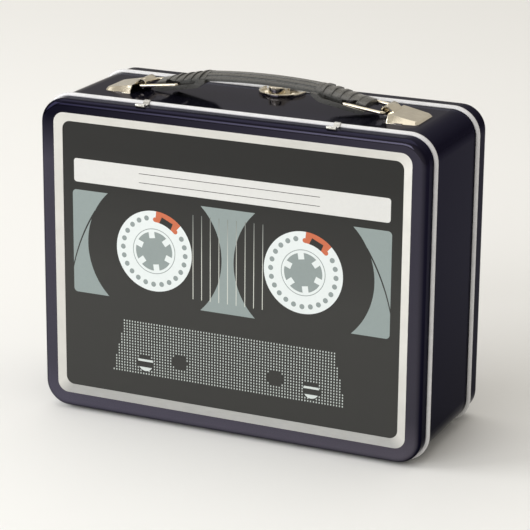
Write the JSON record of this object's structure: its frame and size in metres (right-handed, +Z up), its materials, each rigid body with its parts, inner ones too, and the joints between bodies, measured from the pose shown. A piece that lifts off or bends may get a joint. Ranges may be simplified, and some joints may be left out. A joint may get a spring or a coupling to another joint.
{
  "type": "metal lunch box",
  "caption": "Rectangular tin lunch box with a printed front panel in a bright recessed frame, rolled rims, hinged rear lid, snap latch and arched carrying handle.",
  "frame": {"origin": "on the floor under the centre of the case", "axes": "+X to the right of the printed front, +Y from the front to the back, +Z up"},
  "size_m": [0.22, 0.0894, 0.187],
  "materials": {
    "navy_paint": "glossy dark navy enamel on tinplate",
    "white_rim": "glossy white enamel on the rolled rims",
    "frame_metal": "satin bright frame",
    "print_panel": null,
    "nickel": "bright nickel plate",
    "black_plastic": "glossy black moulded plastic",
    "tin_inside": "plain tinplate"
  },
  "bodies": {
    "case": {"front_shell": "navy_paint", "body_band": "navy_paint", "nesting_lip": "tin_inside", "front_rim_trim": "white_rim", "frame_trim": "frame_metal", "print_panel": "print_panel", "handle_cap_left": "nickel", "handle_cap_right": "nickel", "cap_backing_left": "tin_inside", "cap_backing_right": "tin_inside", "latch_base": "nickel", "latch_housing": "nickel", "latch_pin": "nickel", "latch_backing": "tin_inside", "latch_rivets": "nickel", "hinge_case_leaf_left": "nickel", "hinge_case_leaf_right": "nickel", "hinge_pin_left": "nickel", "hinge_pin_right": "nickel", "seam_clip_left": "nickel", "seam_clip_right": "nickel"},
    "lid": {"lid_shell": "navy_paint", "rear_rim_trim": "white_rim", "hinge_lid_leaf_left": "nickel", "hinge_lid_leaf_right": "nickel", "latch_keeper": "nickel", "keeper_rivets": "nickel"},
    "latch": {"latch_lever": "nickel"},
    "handle": {"handle_grip": "black_plastic"},
    "ring_left": {"handle_ring_left": "nickel"},
    "ring_right": {"handle_ring_right": "nickel"}
  },
  "joints": [
    {"name": "lid_hinge", "type": "hinge", "parent": "case", "child": "lid", "pos_m": [0, 0.026, 0.0014], "axis": [-1, 0, 0], "range_deg": [0, 100]},
    {"name": "latch_pivot", "type": "hinge", "parent": "case", "child": "latch", "pos_m": [0.0017, 0.0189, 0.1746], "axis": [1, 0, 0], "range_deg": [0, 70]},
    {"name": "handle_lift", "type": "slide", "parent": "case", "child": "handle", "axis": [0, 0, 1], "range_m": [0, 0.012]},
    {"name": "ring_pivot_right", "type": "hinge", "parent": "case", "child": "ring_right", "pos_m": [0.072, -0.0034, 0.1756], "axis": [0, 1, 0], "range_deg": [0, 34.6]},
    {"name": "ring_pivot_left", "type": "hinge", "parent": "case", "child": "ring_left", "pos_m": [-0.066, -0.0034, 0.1756], "axis": [0, -1, 0], "range_deg": [0, 34.6]}
  ],
  "couplings": [
    {"joint": "ring_pivot_right", "follows": "handle_lift", "rad_per_m": 50.337},
    {"joint": "ring_pivot_left", "follows": "handle_lift", "rad_per_m": 50.337}
  ]
}
